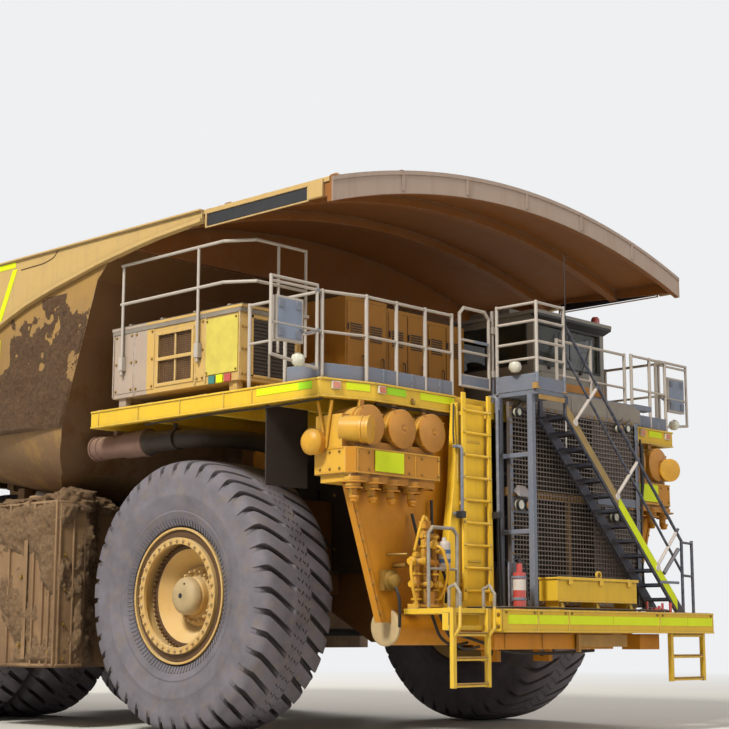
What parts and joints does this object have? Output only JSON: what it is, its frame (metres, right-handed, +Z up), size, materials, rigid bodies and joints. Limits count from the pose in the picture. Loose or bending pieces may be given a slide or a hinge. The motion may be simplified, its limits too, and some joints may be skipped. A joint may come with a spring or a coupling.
{
  "type": "mining dump truck",
  "caption": "Rigid dump truck for mines: front and twin rear wheels, tipping body with a canopy over cab and deck, front stair, retarder box and hoist cylinders.",
  "frame": {"origin": "on the ground, in the middle of the bounding box seen from above", "axes": "+X forward, +Y to the left of the truck, +Z up; X = 3.5 m over the front axle"},
  "size_m": [15.5932, 9.404, 7.6797],
  "materials": {
    "yellow_paint": "satin paint, dusty",
    "tan_paint": "worn paint under tan dust",
    "orange_paint": "satin paint, greasy in places",
    "grey_pipe": "light grey paint",
    "steel": "blue-grey paint, scuffed",
    "dark_metal": "dark paint",
    "brown_paint": "brown paint",
    "tyre_rubber": "dusty rubber",
    "flap_rubber": "matte",
    "rod_chrome": "polished rod",
    "window_glass": "dark tinted",
    "lamp_lens": "clear lens",
    "red_paint": "gloss red"
  },
  "bodies": {
    "chassis": {"frame_rails": "orange_paint", "front_frame": "orange_paint", "rear_axle_box": "orange_paint", "suspension_cylinders": "orange_paint", "engine_block": "dark_metal", "radiator": "steel", "radiator_guard": "dark_metal", "deck_right": "yellow_paint", "deck_center": "steel", "deck_left": "yellow_paint", "grid_box": "yellow_paint", "control_cabinets": "brown_paint", "cab_shell": "grey_pipe", "cab_glass": "window_glass", "deck_rails": "grey_pipe", "grid_box_rails": "grey_pipe", "platform_cage": "steel", "ladder_column": "yellow_paint", "front_stair": "steel", "bumper": "yellow_paint", "toolbox": "yellow_paint", "lower_ladders": "yellow_paint", "air_cleaners": "orange_paint", "lamps": "lamp_lens", "mirrors": "grey_pipe", "fire_extinguishers": "red_paint", "service_center": "orange_paint", "fuel_tank": "tan_paint", "hydraulic_tank": "tan_paint", "mud_flaps": "flap_rubber", "exhaust_pipes": "tan_paint"},
    "cab_door": {"cab_door": "grey_pipe"},
    "ladder_gate": {"ladder_gate": "grey_pipe"},
    "knuckle_left": {"knuckle_left": "orange_paint"},
    "knuckle_right": {"knuckle_right": "orange_paint"},
    "tie_rod": {"tie_rod": "dark_metal"},
    "front_wheel_left": {"tyre_front_left": "tyre_rubber", "rim_front_left": "tan_paint"},
    "front_wheel_right": {"tyre_front_right": "tyre_rubber", "rim_front_right": "tan_paint"},
    "rear_wheels_left": {"tyres_rear_left": "tyre_rubber", "rims_rear_left": "tan_paint"},
    "rear_wheels_right": {"tyres_rear_right": "tyre_rubber", "rims_rear_right": "tan_paint"},
    "dump_body": {"body_tub": "tan_paint", "body_canopy": "tan_paint", "body_rails": "tan_paint", "rock_ejectors": "dark_metal"},
    "hoist_barrels": {"hoist_barrels": "orange_paint"},
    "hoist_stages": {"hoist_stages": "rod_chrome"},
    "hoist_rods": {"hoist_rods": "rod_chrome"}
  },
  "joints": [
    {"name": "steer_left", "type": "hinge", "parent": "chassis", "child": "knuckle_left", "pos_m": [3.5, 1.85, 1.875], "axis": [0, 0, 1], "range_deg": [-32, 32]},
    {"name": "steer_right", "type": "hinge", "parent": "chassis", "child": "knuckle_right", "pos_m": [3.5, -1.85, 1.875], "axis": [0, 0, 1], "range_deg": [-32.5, 32.5]},
    {"name": "tie_rod_swing", "type": "hinge", "parent": "knuckle_left", "child": "tie_rod", "pos_m": [2.72, 1.85, 1.4], "axis": [0, 0, 1], "range_deg": [-32.5, 32.5]},
    {"name": "front_wheel_left_spin", "type": "hinge", "parent": "knuckle_left", "child": "front_wheel_left", "pos_m": [3.5, 3, 1.875], "axis": [0, 1, 0], "continuous": true},
    {"name": "front_wheel_right_spin", "type": "hinge", "parent": "knuckle_right", "child": "front_wheel_right", "pos_m": [3.5, -3, 1.875], "axis": [0, 1, 0], "continuous": true},
    {"name": "rear_wheels_left_spin", "type": "hinge", "parent": "chassis", "child": "rear_wheels_left", "pos_m": [-2.85, 2.35, 1.875], "axis": [0, 1, 0], "continuous": true},
    {"name": "rear_wheels_right_spin", "type": "hinge", "parent": "chassis", "child": "rear_wheels_right", "pos_m": [-2.85, -2.35, 1.875], "axis": [0, 1, 0], "continuous": true},
    {"name": "dump_lift", "type": "hinge", "parent": "chassis", "child": "dump_body", "pos_m": [-4.35, 0, 2.75], "axis": [0, -1, 0], "range_deg": [0, 45]},
    {"name": "hoist_tilt", "type": "hinge", "parent": "chassis", "child": "hoist_barrels", "pos_m": [-0.35, 0, 1.15], "axis": [0, -1, 0], "range_deg": [0, 15.1]},
    {"name": "hoist_stage_slide", "type": "slide", "parent": "hoist_barrels", "child": "hoist_stages", "axis": [-0.0687, 0, 0.9976], "range_m": [0, 1.45]},
    {"name": "hoist_rod_slide", "type": "slide", "parent": "hoist_stages", "child": "hoist_rods", "axis": [-0.0687, 0, 0.9976], "range_m": [0, 1.45]},
    {"name": "cab_door_swing", "type": "hinge", "parent": "chassis", "child": "cab_door", "pos_m": [5.306, 2.778, 5.3], "axis": [0, 0, -1], "range_deg": [0, 80]},
    {"name": "ladder_gate_swing", "type": "hinge", "parent": "chassis", "child": "ladder_gate", "pos_m": [6.64, -0.58, 5.1], "axis": [0, 0, -1], "range_deg": [0, 90]}
  ],
  "couplings": [
    {"joint": "steer_right", "follows": "steer_left", "ratio": 1},
    {"joint": "tie_rod_swing", "follows": "steer_left", "ratio": -1},
    {"joint": "hoist_tilt", "follows": "dump_lift", "ratio": 0.33384},
    {"joint": "hoist_stage_slide", "follows": "dump_lift", "m_per_rad": 1.8401},
    {"joint": "hoist_rod_slide", "follows": "dump_lift", "m_per_rad": 1.8401}
  ]
}
